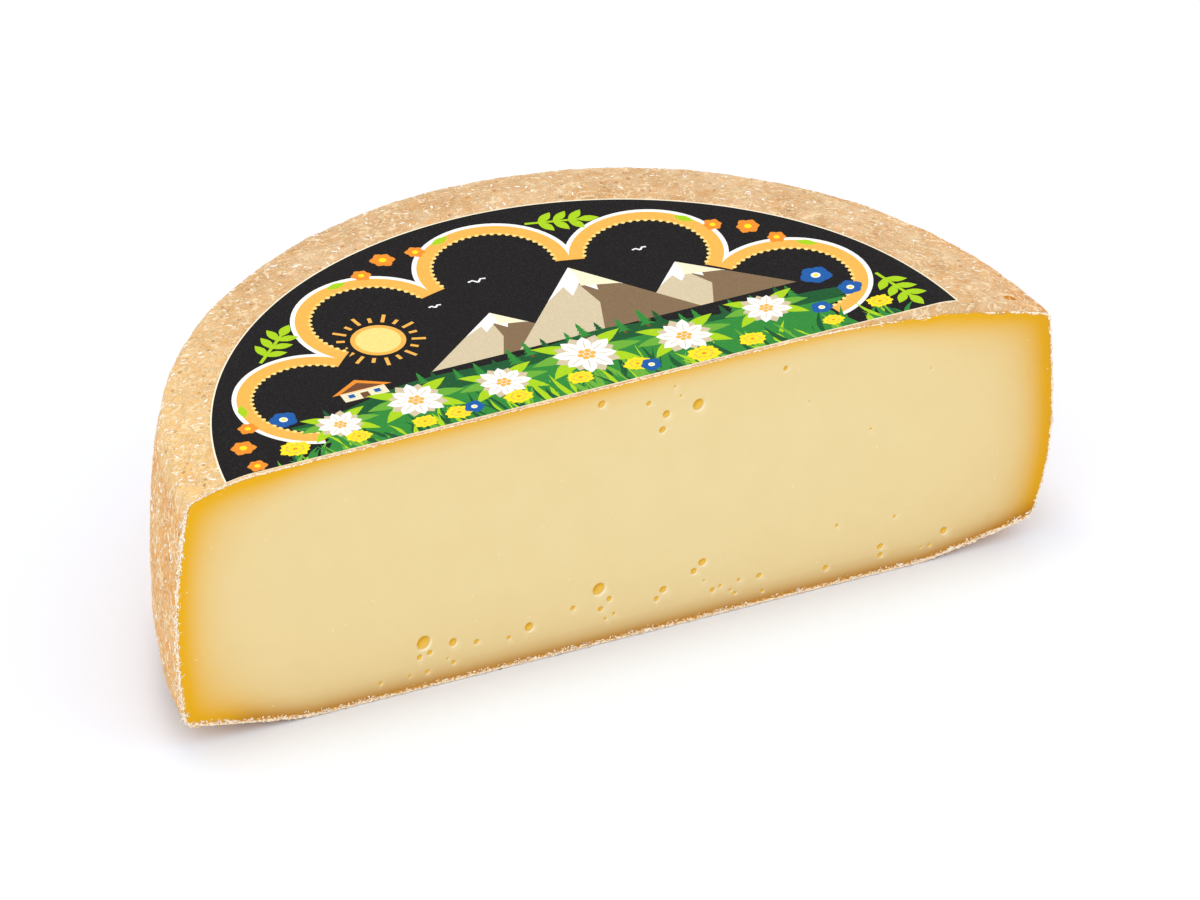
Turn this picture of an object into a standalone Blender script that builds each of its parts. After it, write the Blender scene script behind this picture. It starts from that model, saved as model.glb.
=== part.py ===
"""A half wheel of raclette cheese with its round paper label, cut with the wheel.

The wheel's axis is vertical. It stands on its flat underside, the cut face looks along -Y and
the rind's round side runs behind it. The origin is at the centre of the base of the bounding box.
Everything is in metres.
"""

import math

import bmesh
import bpy
from mathutils import Matrix, Vector, noise

MM = 0.001

# The whole wheel
WHEEL_RADIUS = 150.5 * MM
WHEEL_HEIGHT = 94.6 * MM
CUT_BEYOND_AXIS = 9.2 * MM

# The flat middle of the top, and how far its shoulder has sunk at the rim. The wheel has
# slumped on its right, where the shoulder starts further in and sinks deeper.
TOP_FLAT_RADIUS = 124 * MM
TOP_FLAT_RADIUS_SLUMPED = 112 * MM
TOP_SINK = 6.5 * MM
TOP_SINK_SLUMPED = 13.3 * MM
TOP_SINK_POWER = 1.5
SLUMP_SPREAD = math.radians(47)

# The flat underside that the wheel rests on, and how far its rim lifts
BASE_FLAT_RADIUS = 104 * MM
BASE_LIFT = 8.6 * MM
BASE_LIFT_POWER = 1.2

# The bulging side. Each pair is the value on the left and on the right of the cut face.
BULGE_HEIGHT = 47 * MM
BULGE_TOP = (6.1 * MM, 2.0 * MM)
BULGE_BASE = (4.1 * MM, 10.2 * MM)
EDGE_ROUND = 2.4 * MM
SIDE_UNEVEN = 0.45 * MM
SIDE_UNEVEN_LENGTH = 45 * MM
UNEVEN_FROM_RADIUS = 140 * MM

# The paper label, a disc glued a little off the wheel's centre
LABEL_RADIUS = 126 * MM
LABEL_OFFSET_X = -7 * MM
LABEL_OFFSET_Y = -5.8 * MM
LABEL_THICKNESS = 0.25 * MM
LABEL_GAP = 0.3 * MM
LABEL_FROM_CUT = 0.9 * MM

# Eyes in the cut face: x from the wheel's axis, height above the base and width, in mm
EYES_MM = [
    (-66.7, 16.9, 4.2),
    (-68.2, 11.9, 1.7),
    (-64.7, 12.7, 1.7),
    (-56.7, 14.3, 2.5),
    (-48.7, 12.3, 1.7),
    (-30.7, 12.9, 2.7),
    (-15.7, 15.9, 1.6),
    (-6.7, 20.5, 3.8),
    (-3.2, 15.9, 1.7),
    (-6.2, 12.9, 1.7),
    (15.3, 14.3, 2.2),
    (12.9, 11.5, 1.6),
    (28.9, 20.9, 2.4),
    (25.9, 18.3, 2),
    (32.3, 9.5, 1.6),
    (48.3, 10.5, 1.7),
    (71.3, 7.1, 1.7),
    (90.3, 9.9, 1.9),
    (90.3, 6.7, 1.6),
    (112.3, 9.9, 2.2),
    (-4.7, 88.9, 2.3),
    (11.3, 84.9, 1.6),
    (17.3, 79.3, 2.4),
    (15.9, 73.9, 2.1),
    (28.3, 79.9, 3.5),
    (58.3, 85.3, 1.6),
]
EYE_DEPTH_SHARE = 0.62
EYE_STRETCH = 1.12
LARGE_EYE = 3.0 * MM

# Fineness of the meshes
TURNS = 120
FLAT_RINGS = 2
SHOULDER_RINGS = 5
EDGE_POINTS = 4
SIDE_POINTS = 8
LABEL_FLAT_RADIUS = 88 * MM
LABEL_OUTER_RINGS = 7
LABEL_TURNS = 120

RIND_COLOUR = (0.80, 0.55, 0.30)
PASTE_COLOUR = (0.88, 0.71, 0.38)
LABEL_COLOUR = (0.02, 0.02, 0.022)


def clear_scene():
    for obj in list(bpy.data.objects):
        bpy.data.objects.remove(obj, do_unlink=True)


def material(name, colour, roughness):
    made = bpy.data.materials.new(name)
    made.use_nodes = True
    shader = made.node_tree.nodes["Principled BSDF"]
    shader.inputs["Base Color"].default_value = (*colour, 1.0)
    shader.inputs["Roughness"].default_value = roughness
    shader.inputs["Metallic"].default_value = 0.0
    made.diffuse_color = (*colour, 1.0)
    return made


def mix(low, high, share):
    return low + (high - low) * share


def slump(angle):
    """1 on the wheel's slumped right side, falling to 0 away from it."""
    turn = math.atan2(math.sin(angle), math.cos(angle))
    return math.exp(-((turn / SLUMP_SPREAD) ** 2))


def rightness(angle):
    """0 on the left of the cut face and 1 on its right."""
    return 0.5 + 0.5 * math.cos(angle)


def top_height(radius, angle):
    """The top's height: flat in the middle, then a shoulder that sinks towards the rim."""
    flat = mix(TOP_FLAT_RADIUS, TOP_FLAT_RADIUS_SLUMPED, slump(angle))
    sink = mix(TOP_SINK, TOP_SINK_SLUMPED, slump(angle))
    share = max(0.0, (radius - flat) / (WHEEL_RADIUS - flat))
    return WHEEL_HEIGHT - sink * share**TOP_SINK_POWER


def base_height(radius):
    """The underside's height: flat where it rests, then lifting towards the rim."""
    share = max(0.0, (radius - BASE_FLAT_RADIUS) / (WHEEL_RADIUS - BASE_FLAT_RADIUS))
    return BASE_LIFT * share**BASE_LIFT_POWER


def side_radius(height, angle):
    """The side's radius at this height, bulging most at BULGE_HEIGHT."""
    bulge = BULGE_TOP if height > BULGE_HEIGHT else BULGE_BASE
    inset = mix(*bulge, rightness(angle))
    return WHEEL_RADIUS - inset * ((height - BULGE_HEIGHT) / BULGE_HEIGHT) ** 2


def arc_between(start, corner, end, count):
    """Points of a soft arc that leaves start towards the corner and arrives at end."""
    points = []
    for step in range(count + 1):
        t = step / count
        points.append(start * (1 - t) ** 2 + corner * 2 * t * (1 - t) + end * t**2)
    return points


def meeting(surface, angle):
    """Where a top or bottom surface meets the side, as (radius, height)."""
    radius = WHEEL_RADIUS
    for _ in range(8):
        radius = side_radius(surface(radius), angle)
    return Vector((radius, surface(radius)))


def half_profile(surface, angle, flat_radius):
    """From the axis out over a top or bottom surface, to where its rounded edge meets the side."""
    corner = meeting(surface, angle)
    turn_in = corner.x - EDGE_ROUND
    radii = [flat_radius * ring / FLAT_RINGS for ring in range(FLAT_RINGS + 1)]
    for ring in range(1, SHOULDER_RINGS):
        radii.append(mix(flat_radius, turn_in, ring / SHOULDER_RINGS))
    points = [Vector((radius, surface(radius))) for radius in radii]
    towards_bulge = math.copysign(EDGE_ROUND, BULGE_HEIGHT - corner.y)
    side_height = corner.y + towards_bulge
    start = Vector((turn_in, surface(turn_in)))
    end = Vector((side_radius(side_height, angle), side_height))
    return points + arc_between(start, corner, end, EDGE_POINTS)


def profile(angle):
    """The wheel's outline at this angle, from the base's middle out and up to the top's middle."""
    top_flat = mix(TOP_FLAT_RADIUS, TOP_FLAT_RADIUS_SLUMPED, slump(angle))
    base = half_profile(base_height, angle, BASE_FLAT_RADIUS)
    top = half_profile(lambda radius: top_height(radius, angle), angle, top_flat)
    side = []
    for step in range(1, SIDE_POINTS):
        height = mix(base[-1].y, top[-1].y, step / SIDE_POINTS)
        side.append(Vector((side_radius(height, angle), height)))
    return base + side + top[::-1]


def uneven(point):
    """Pushes a point near the rim in or out, as an aged rind is never quite round."""
    radius = math.hypot(point.x, point.y)
    if radius < UNEVEN_FROM_RADIUS:
        return point
    share = min(1.0, (radius - UNEVEN_FROM_RADIUS) / (WHEEL_RADIUS - UNEVEN_FROM_RADIUS))
    push = noise.noise(point / SIDE_UNEVEN_LENGTH) * SIDE_UNEVEN * 2 * share
    return Vector((point.x * (1 + push / radius), point.y * (1 + push / radius), point.z))


def turned_wheel(mesh):
    """The whole wheel round the Z axis, its profile changing slowly with the angle."""
    rings = []
    for turn in range(TURNS):
        angle = 2 * math.pi * turn / TURNS
        outline = profile(angle)[1:-1]
        across, along = math.cos(angle), math.sin(angle)
        rings.append(
            [mesh.verts.new(uneven(Vector((p.x * across, p.x * along, p.y)))) for p in outline]
        )
    base_middle = mesh.verts.new((0, 0, 0))
    top_middle = mesh.verts.new((0, 0, WHEEL_HEIGHT))
    for turn, ring in enumerate(rings):
        after = rings[(turn + 1) % TURNS]
        mesh.faces.new((base_middle, after[0], ring[0]))
        mesh.faces.new((top_middle, ring[-1], after[-1]))
        for low in range(len(ring) - 1):
            mesh.faces.new((ring[low], after[low], after[low + 1], ring[low + 1]))


def cut_away_front(mesh, cut, fill):
    """Removes what lies in front of the plane y = cut and, if fill is set, closes the cut face."""
    parts = list(mesh.verts) + list(mesh.edges) + list(mesh.faces)
    result = bmesh.ops.bisect_plane(
        mesh, geom=parts, dist=1e-7, plane_co=(0, cut, 0), plane_no=(0, -1, 0), clear_outer=True
    )
    if fill:
        rim = [item for item in result["geom_cut"] if isinstance(item, bmesh.types.BMEdge)]
        bmesh.ops.edgeloop_fill(mesh, edges=rim)


def eye_cutter(place, width, index):
    """An egg-shaped hollow whose middle lies just behind the cut face."""
    mesh = bmesh.new()
    fineness = 3 if width * MM >= LARGE_EYE else 2
    bmesh.ops.create_icosphere(mesh, subdivisions=fineness, radius=width * MM / 2)
    lean = math.radians(-35 if index % 2 else 20)
    shape = Matrix.Rotation(lean, 4, "Y") @ Matrix.Diagonal(
        (1.0, 2 * EYE_DEPTH_SHARE, EYE_STRETCH, 1.0)
    )
    bmesh.ops.transform(mesh, matrix=Matrix.Translation(place) @ shape, verts=mesh.verts)
    return mesh


def add_object(name, mesh, *materials):
    data = bpy.data.meshes.new(name)
    mesh.to_mesh(data)
    mesh.free()
    for made in materials:
        data.materials.append(made)
    obj = bpy.data.objects.new(name, data)
    bpy.context.scene.collection.objects.link(obj)
    return obj


def build_eyes():
    """All the hollows of the cut face as one cutter. None of them touch."""
    together = bmesh.new()
    for index, (across, height, width) in enumerate(EYES_MM):
        place = Vector((across * MM, CUT_BEYOND_AXIS, height * MM))
        single = eye_cutter(place, width, index)
        data = bpy.data.meshes.new("eye")
        single.to_mesh(data)
        single.free()
        together.from_mesh(data)
        bpy.data.meshes.remove(data)
    cutter = add_object("eye_cutter", together)
    cutter.hide_render = True
    cutter.display_type = "WIRE"
    return cutter


def build_half_wheel(rind, paste):
    mesh = bmesh.new()
    turned_wheel(mesh)
    cut_away_front(mesh, CUT_BEYOND_AXIS, fill=True)
    bmesh.ops.recalc_face_normals(mesh, faces=mesh.faces)
    for face in mesh.faces:
        face.material_index = 1 if face.normal.y < -0.999 else 0
        face.smooth = face.material_index == 0
    wheel = add_object("half_wheel", mesh, rind, paste)
    holes = wheel.modifiers.new("Eyes", "BOOLEAN")
    holes.operation = "DIFFERENCE"
    holes.solver = "EXACT"
    holes.object = build_eyes()
    return wheel


def build_label(paper):
    """The label's sheet, laid over the top and cut off just behind the cut face."""
    mesh = bmesh.new()
    centre = Vector((LABEL_OFFSET_X, LABEL_OFFSET_Y, 0))
    radii = [LABEL_FLAT_RADIUS / 2]
    for ring in range(LABEL_OUTER_RINGS + 1):
        radii.append(mix(LABEL_FLAT_RADIUS, LABEL_RADIUS, ring / LABEL_OUTER_RINGS))
    rings = []
    for radius in radii:
        points = []
        for turn in range(LABEL_TURNS):
            angle = 2 * math.pi * turn / LABEL_TURNS
            place = centre + Vector((radius * math.cos(angle), radius * math.sin(angle), 0))
            place.z = top_height(place.length, math.atan2(place.y, place.x)) + LABEL_GAP
            points.append(mesh.verts.new(place))
        rings.append(points)
    middle = mesh.verts.new((centre.x, centre.y, WHEEL_HEIGHT + LABEL_GAP))
    for turn in range(LABEL_TURNS):
        after = (turn + 1) % LABEL_TURNS
        mesh.faces.new((middle, rings[0][turn], rings[0][after]))
        for inner, outer in zip(rings, rings[1:]):
            mesh.faces.new((inner[turn], outer[turn], outer[after], inner[after]))
    cut_away_front(mesh, CUT_BEYOND_AXIS + LABEL_FROM_CUT, fill=False)
    for face in mesh.faces:
        face.smooth = True
    label = add_object("label", mesh, paper)
    thickness = label.modifiers.new("Paper", "SOLIDIFY")
    thickness.thickness = LABEL_THICKNESS
    thickness.offset = 1.0
    return label


def centre_on_base(objects):
    """Moves everything so that the base of the bounding box is centred on the origin."""
    bpy.context.view_layer.update()
    graph = bpy.context.evaluated_depsgraph_get()
    corners = [Vector(corner) for obj in objects for corner in obj.evaluated_get(graph).bound_box]
    low = Vector([min(corner[axis] for corner in corners) for axis in range(3)])
    high = Vector([max(corner[axis] for corner in corners) for axis in range(3)])
    shift = Vector((-(low.x + high.x) / 2, -(low.y + high.y) / 2, -low.z))
    for obj in bpy.data.objects:
        obj.location += shift


def main():
    clear_scene()
    rind = material("rind", RIND_COLOUR, 0.75)
    paste = material("paste", PASTE_COLOUR, 0.5)
    paper = material("label_paper", LABEL_COLOUR, 0.45)
    wheel = build_half_wheel(rind, paste)
    label = build_label(paper)
    centre_on_base([wheel, label])


main()
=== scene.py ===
import math

import bpy
import numpy as np
from mathutils import Matrix, Vector, noise
from mathutils.bvhtree import BVHTree
from mathutils.geometry import delaunay_2d_cdt


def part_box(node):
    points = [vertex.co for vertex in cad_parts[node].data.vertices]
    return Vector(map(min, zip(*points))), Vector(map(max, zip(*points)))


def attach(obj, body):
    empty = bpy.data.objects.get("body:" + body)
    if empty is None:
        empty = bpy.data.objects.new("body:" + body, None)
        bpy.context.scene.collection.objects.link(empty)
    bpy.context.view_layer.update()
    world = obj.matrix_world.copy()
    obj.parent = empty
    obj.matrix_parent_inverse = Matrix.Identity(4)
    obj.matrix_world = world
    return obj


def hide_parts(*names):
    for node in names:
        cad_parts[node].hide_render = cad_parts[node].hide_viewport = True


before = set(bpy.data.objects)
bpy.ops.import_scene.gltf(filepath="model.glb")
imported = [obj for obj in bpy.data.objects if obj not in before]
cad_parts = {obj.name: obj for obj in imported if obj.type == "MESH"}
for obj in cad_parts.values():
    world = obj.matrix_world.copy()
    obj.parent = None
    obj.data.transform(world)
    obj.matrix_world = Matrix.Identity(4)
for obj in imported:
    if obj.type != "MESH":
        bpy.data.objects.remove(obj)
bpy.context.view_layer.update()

MM = 0.001

# The seed of the vector noise that bends the rind's creases and roughens the cut's edges
RELIEF_SEED = 5
noise.seed_set(RELIEF_SEED)

# The wheel's driving sizes, as its solid has them
WHEEL_RADIUS = 150.5 * MM
WHEEL_HEIGHT = 94.6 * MM
CUT_BEYOND_AXIS = 9.2 * MM
TOP_FLAT_RADIUS = 124 * MM
TOP_FLAT_RADIUS_SLUMPED = 112 * MM
TOP_SINK = 6.5 * MM
TOP_SINK_SLUMPED = 13.3 * MM
TOP_SINK_POWER = 1.5
SLUMP_SPREAD = math.radians(47)
BASE_FLAT_RADIUS = 104 * MM
BASE_LIFT = 8.6 * MM
BASE_LIFT_POWER = 1.2
BULGE_HEIGHT = 47 * MM
BULGE_TOP = (6.1 * MM, 2.0 * MM)
BULGE_BASE = (4.1 * MM, 10.2 * MM)
EDGE_ROUND = 2.4 * MM
SIDE_UNEVEN = 0.45 * MM
SIDE_UNEVEN_LENGTH = 45 * MM
UNEVEN_FROM_RADIUS = 140 * MM
LABEL_RADIUS = 126 * MM
LABEL_OFFSET = Vector((-7 * MM, -5.8 * MM))
LABEL_FROM_CUT = 0.9 * MM

# The wheel's axis on the floor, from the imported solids
WHEEL_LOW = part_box("half_wheel")[0]
LABEL_LOW, LABEL_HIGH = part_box("label")
CUT_Y = WHEEL_LOW[1]
AXIS = Vector(((LABEL_LOW[0] + LABEL_HIGH[0]) / 2 - LABEL_OFFSET.x, CUT_Y - CUT_BEYOND_AXIS, 0.0))

# Fineness of the cheese's mesh
COLUMNS = 500
BASE_RING_FROM = 138 * MM
TOP_RING_FROM = 115 * MM
BASE_RING_ROWS = 6
EDGE_ROWS = 6
SIDE_ROWS = 78
TOP_RING_ROWS = 36
CHORD_STEP = 0.6 * MM
RIM_STEPS = [0.35 * MM, 0.8 * MM, 1.4 * MM, 2.2 * MM, 3.4 * MM, 5.0 * MM]
FACE_STEP = 3.0 * MM
CAP_STEP = 7.0 * MM

# Eyes of the cut face: x from the wheel's axis, height above the base and width, in mm
EYES_MM = [
    (-66.7, 16.9, 4.2), (-68.2, 11.9, 1.7), (-64.7, 12.7, 1.7), (-56.7, 14.3, 2.5), (-48.7, 12.3, 1.7),
    (-58.7, 8.9, 0.8), (-56.7, 6.9, 1.3), (-65.7, 5.9, 1.4), (-71.7, 5.9, 1), (-81.7, 5.9, 1.3),
    (-37.7, 10.9, 1.3), (-30.7, 12.9, 2.7), (-15.7, 15.9, 1.6), (-6.7, 20.5, 3.8), (-3.2, 15.9, 1.7),
    (-6.2, 12.9, 1.7), (-1.7, 9.9, 1.1), (-4.7, 8.9, 1), (15.3, 14.3, 2.2), (12.9, 11.5, 1.6),
    (28.9, 20.9, 2.4), (25.9, 18.3, 2), (29.3, 13.9, 0.8), (32.3, 9.5, 1.6), (34.9, 10.3, 1.1),
    (38.3, 7.9, 1), (39.9, 6.3, 1.2), (41.3, 10.9, 1.1), (48.3, 10.5, 1.7), (49.3, 4.5, 1.2),
    (71.3, 7.1, 1.7), (90.3, 9.9, 1.9), (90.3, 6.7, 1.6), (95.3, 19.9, 1), (75.3, 21.9, 1.1),
    (104.3, 5.9, 0.8), (107.3, 5.9, 1.1), (112.3, 9.9, 2.2), (-4.7, 88.9, 2.3), (11.3, 84.9, 1.6),
    (17.3, 79.3, 2.4), (15.9, 73.9, 2.1), (28.3, 79.9, 3.5), (22.3, 84.9, 0.8), (20.3, 88.9, 0.8),
    (58.3, 85.3, 1.6), (66.3, 70.9, 0.6), (108.3, 71.9, 0.6), (87.3, 54.9, 0.8),
]
EYE_DEPTH_SHARE = 0.46
EYE_STRETCH = 1.16
# An eye's hollow reaches to its rim and fades out over its lip, as shares of its half width
EYE_RIM = 0.94
EYE_LIP_END = 1.25
# The ways over the cut face in which the lip gets its painted highlight and the inside its painted shade
LIP_HIGHLIGHT_WAY = Vector((0.64, -0.77))
SHADE_WAY = Vector((-0.6, 0.8))
EYE_RINGS = [0.25, 0.5, 0.68, 0.8, 0.88, 0.94, 0.98, 1.02, 1.08, 1.18, 1.35]
EYE_POINTS = 20

# How far in from the ends, in mm, the golden band under the top pales
TOP_PALES_LEFT = (20, 50)
TOP_PALES_RIGHT = (30, 70)
# Over how many mm either side of the axis the left end's tints turn into the right end's
RIGHTWARD = 45
# The gold and the brown of the paste: their strength, and how far in from the rim they reach, in mm
GOLDEN_BAND = (0.9, 8)
GOLDEN_HAZE = (0.22, 24)
# Above the base the brown is partly the paste's own colour and partly painted shade near the floor
BROWN_AND_SHADE_BAND = (0.88, 4.6)
BROWN_AND_SHADE_HAZE = (0.2, 14)
BROWN_RIGHT = (0.25, 11)
# Width in mm of the pale crust at the rim of the cut face
CRUST_BASE = 1.7
CRUST_SIDE = 0.9
CRUST_TOP = 0.5

# Towards the cut's right end the rind is folded down over its top edge: where it reaches lowest,
# in mm from the axis, how far down, and how it fades to the left and to the right
FOLD_PLACE = 119
FOLD_HEIGHT = 4.4
FOLD_SPREAD = (27, 23)
FOLD_DEPTH = 0.45 * MM

# The relief of the cut face and of the rind: how far apart its waves are and how high, in mm
FACE_GRAIN = (0.9, 0.3)
FACE_GRAIN_WITHIN = 2.2
FACE_WAVES = (16, 0.12)
RIM_RAGGED = (1.3, 0.28)
RIND_LUMPS = (15, 0.26)
RIND_WRINKLES = (5.2, 0.2)
RIND_BEND = (6, 2)
RIND_CREASES = (2.6, 0.3)

# A shallow dent low on the left of the side
DENT_DEPTH = 1.0 * MM
DENT_WIDTH = 5.0 * MM
DENT_PLACE = Vector((-138.5 * MM, 58.8 * MM, 34 * MM))

# Strands and crumbs along the cut's edges. For each kind of edge: how likely one is at a step,
# how far out its middle lies, its length and width, all in mm, and how far it turns, in degrees
STRAND_SIDES = 4
STRAND_STEPS = 5
STRAND_LOWEST = 0.05 * MM
RIM_STEP = 0.5 * MM
RIM_SEED = 11
TOP_FRAYS_WITHIN = 62 * MM
RIM_KINDS = {
    "base": [
        (0.50, (-1.3, 0.0), 1.8, 0.50, 38),
        (0.90, (-2.0, 0.2), 0.9, 0.48, 90),
        (0.12, (-2.4, 0.3), 1.7, 0.22, 90),
    ],
    "left": [
        (0.80, (-0.7, 0.35), 1.7, 0.52, 40),
        (0.60, (-0.9, 0.5), 0.9, 0.46, 90),
        (0.50, (-1.4, 1.1), 2.1, 0.22, 90),
    ],
    "right": [
        (0.55, (-0.5, 0.2), 1.3, 0.45, 35),
        (0.35, (-0.8, 0.3), 0.7, 0.36, 90),
        (0.10, (-1.2, 0.5), 1.6, 0.18, 90),
    ],
    "top": [
        (0.55, (-0.3, 0.2), 1.1, 0.4, 25),
        (0.30, (-0.5, 0.2), 0.6, 0.36, 90),
        (0.06, (-0.9, 0.1), 1.3, 0.17, 90),
    ],
    "fold": [
        (0.75, (-0.4, 0.3), 1.2, 0.62, 25),
        (0.50, (-0.5, 0.4), 0.8, 0.52, 90),
        (0.12, (-1.0, 0.6), 1.3, 0.25, 90),
    ],
}

# A small orange nick in the rind's top near the cut's right end: its place from the axis and its
# half length in mm, and how much shorter it is the other way
NICK_PLACE = (137.9, 14.3)
NICK_REACH = 2.5
NICK_SQUASH = 1.6

# Pale fibres and flecks on the rind
RIND_SEED = 23
RIND_RUN = WHEEL_HEIGHT + 38 * MM
FIBRES = 3000
FLECKS = 1300


def mix(low, high, share):
    return low + (high - low) * share


def smooth_share(low, high, value):
    share = min(1.0, max(0.0, (value - low) / (high - low)))
    return share * share * (3 - 2 * share)


def polar(x, y=CUT_BEYOND_AXIS):
    """A place's radius and angle from the wheel's axis. By itself x is a place along the cut."""
    return math.hypot(x, y), math.atan2(y, x)


def waves(point, apart, high):
    return noise.noise(point / (apart * MM)) * high * MM


def placed(name, data):
    """A new object in the scene."""
    made = bpy.data.objects.new(name, data)
    bpy.context.scene.collection.objects.link(made)
    return made


def slump(angle):
    """How much the top sags towards the right, from 0 to 1."""
    turn = np.arctan2(np.sin(angle), np.cos(angle))
    return np.exp(-((turn / SLUMP_SPREAD) ** 2))


def top_height(radius, angle):
    flat = mix(TOP_FLAT_RADIUS, TOP_FLAT_RADIUS_SLUMPED, slump(angle))
    sink = mix(TOP_SINK, TOP_SINK_SLUMPED, slump(angle))
    share = np.maximum(0.0, (radius - flat) / (WHEEL_RADIUS - flat))
    return WHEEL_HEIGHT - sink * share**TOP_SINK_POWER


def base_height(radius, angle):
    share = np.maximum(0.0, (radius - BASE_FLAT_RADIUS) / (WHEEL_RADIUS - BASE_FLAT_RADIUS))
    return BASE_LIFT * share**BASE_LIFT_POWER


def side_radius(height, angle):
    rightness = 0.5 + 0.5 * np.cos(angle)
    above = mix(*BULGE_TOP, rightness)
    below = mix(*BULGE_BASE, rightness)
    inset = np.where(height > BULGE_HEIGHT, above, below)
    return WHEEL_RADIUS - inset * ((height - BULGE_HEIGHT) / BULGE_HEIGHT) ** 2


def corner_of(surface, angle):
    """Where a top or bottom surface meets the side, as radius and height."""
    radius = np.full_like(angle, WHEEL_RADIUS)
    for _ in range(8):
        radius = side_radius(surface(radius, angle), angle)
    return radius, surface(radius, angle)


def edge_arc(surface, angle, share):
    """A place on the rounded edge: share 0 on the top or bottom surface, 1 on the side."""
    radius, height = corner_of(surface, angle)
    turn_in = radius - EDGE_ROUND
    side_height = height + np.copysign(EDGE_ROUND, BULGE_HEIGHT - height)
    weights = ((1 - share) ** 2, 2 * share * (1 - share), share**2)
    radii = (turn_in, radius, side_radius(side_height, angle))
    heights = (surface(turn_in, angle), height, side_height)
    return sum(w * r for w, r in zip(weights, radii)), sum(w * h for w, h in zip(weights, heights))


def ring_row(surface, start, share):
    """A row of the grid on the top or bottom surface, between the radius start and the edge."""

    def row(angle):
        turn_in = corner_of(surface, angle)[0] - EDGE_ROUND
        radius = mix(start, turn_in, share)
        return radius, surface(radius, angle)

    return row


def side_row(share):
    """A row of the grid on the side, between the base's edge and the top's."""

    def row(angle):
        low = edge_arc(base_height, angle, 1.0)[1]
        high = edge_arc(top_height, angle, 1.0)[1]
        height = mix(low, high, share)
        return side_radius(height, angle), height

    return row


def outline_rows():
    """The rind's outline from the underside out, up the side and in over the top."""
    rows = [ring_row(base_height, BASE_RING_FROM, i / BASE_RING_ROWS) for i in range(BASE_RING_ROWS)]
    for i in range(EDGE_ROWS):
        rows.append(lambda angle, share=i / EDGE_ROWS: edge_arc(base_height, angle, share))
    rows += [side_row(i / SIDE_ROWS) for i in range(SIDE_ROWS)]
    for i in range(EDGE_ROWS):
        rows.append(lambda angle, share=1 - i / EDGE_ROWS: edge_arc(top_height, angle, share))
    for i in range(TOP_RING_ROWS + 1):
        rows.append(ring_row(top_height, TOP_RING_FROM, 1 - i / TOP_RING_ROWS))
    return rows


def on_half_wheel(row):
    """The row's points from the cut face's right end round the back to its left end."""
    share = np.linspace(0, 1, COLUMNS + 1)
    angle = math.pi * share
    for _ in range(4):
        radius, height = row(angle)
        first = np.arcsin(CUT_BEYOND_AXIS / radius)
        angle = first + (math.pi - 2 * first) * share
    return np.stack([radius * np.cos(angle), radius * np.sin(angle), height], 1)


def uneven(point):
    """The slow waviness of the side, which the solid has too."""
    radius = math.hypot(point[0], point[1])
    if radius < UNEVEN_FROM_RADIUS:
        return point
    share = min(1.0, (radius - UNEVEN_FROM_RADIUS) / (WHEEL_RADIUS - UNEVEN_FROM_RADIUS))
    push = noise.noise(Vector(point) / SIDE_UNEVEN_LENGTH) * SIDE_UNEVEN * 2 * share
    grown = 1 + push / radius
    return (point[0] * grown, point[1] * grown, point[2])


def meshed(name, points, faces, paints, kinds=()):
    """A new mesh with its paints, and which of them each face has."""
    mesh = bpy.data.meshes.new(name)
    mesh.from_pydata(points, [], faces)
    for paint in paints:
        mesh.materials.append(paint)
    if len(kinds):
        mesh.polygons.foreach_set("material_index", kinds)
    mesh.update()
    return mesh


class Builder:
    """Vertices and faces of one mesh. Regions share the vertices along their borders."""

    def __init__(self):
        self.points = []
        self.faces = []
        self.kinds = []

    def add_points(self, points):
        first = len(self.points)
        self.points += [tuple(point) for point in points]
        return list(range(first, len(self.points)))

    def add_face(self, face, kind):
        self.faces.append(tuple(face))
        self.kinds.append(kind)

    def fill(self, loop, inside, plane, kind, flip=False):
        """Triangles over the area inside a closed loop, seen along one axis."""
        ids = loop + inside
        flat = [Vector([self.points[i][axis] for axis in plane]) for i in ids]
        edges = [(i, (i + 1) % len(loop)) for i in range(len(loop))]
        found = delaunay_2d_cdt(flat, edges, [], 1, 1e-7)
        for face in found[2]:
            corners = [ids[min(found[3][corner])] for corner in face]
            if len(set(corners)) == 3:
                self.add_face(corners[::-1] if flip else corners, kind)


def chord(start_x, end_x):
    """Places along the cut's straight top or bottom edge, without its ends."""
    count = max(2, round(abs(end_x - start_x) / CHORD_STEP))
    return [mix(start_x, end_x, i / count) for i in range(1, count)]


def staggered(low, high, step):
    """Places on a triangular grid over a rectangle."""
    rows = int((high[1] - low[1]) / (step * 0.866)) + 1
    found = []
    for row in range(rows + 1):
        across = low[0] + (row % 2) * step / 2
        while across < high[0]:
            found.append((across, low[1] + row * step * 0.866))
            across += step
    return found


def eye_shape(index):
    """An eye's middle on the cut face, its half width, and the way it leans."""
    across, height, width = EYES_MM[index]
    lean = math.radians(-32 + 26 * math.sin(index * 2.4))
    return Vector((across, height)) * MM, width * MM / 2, lean


def eye_reach(place, index):
    """How far a place on the cut face is from an eye's middle, as a share of its half width."""
    middle, half, lean = eye_shape(index)
    away = Vector(place) - middle
    along = away.x * math.cos(lean) + away.y * math.sin(lean)
    across = -away.x * math.sin(lean) + away.y * math.cos(lean)
    return math.hypot(along / half, across / (half * EYE_STRETCH))


def eye_ring(index, reach):
    """Places round an eye at a share of its half width."""
    middle, half, lean = eye_shape(index)
    ring = []
    for step in range(EYE_POINTS):
        turn = 2 * math.pi * step / EYE_POINTS
        along = reach * half * math.cos(turn)
        across = reach * half * EYE_STRETCH * math.sin(turn)
        x = middle.x + along * math.cos(lean) - across * math.sin(lean)
        z = middle.y + along * math.sin(lean) + across * math.cos(lean)
        ring.append((x, z))
    return ring


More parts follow.
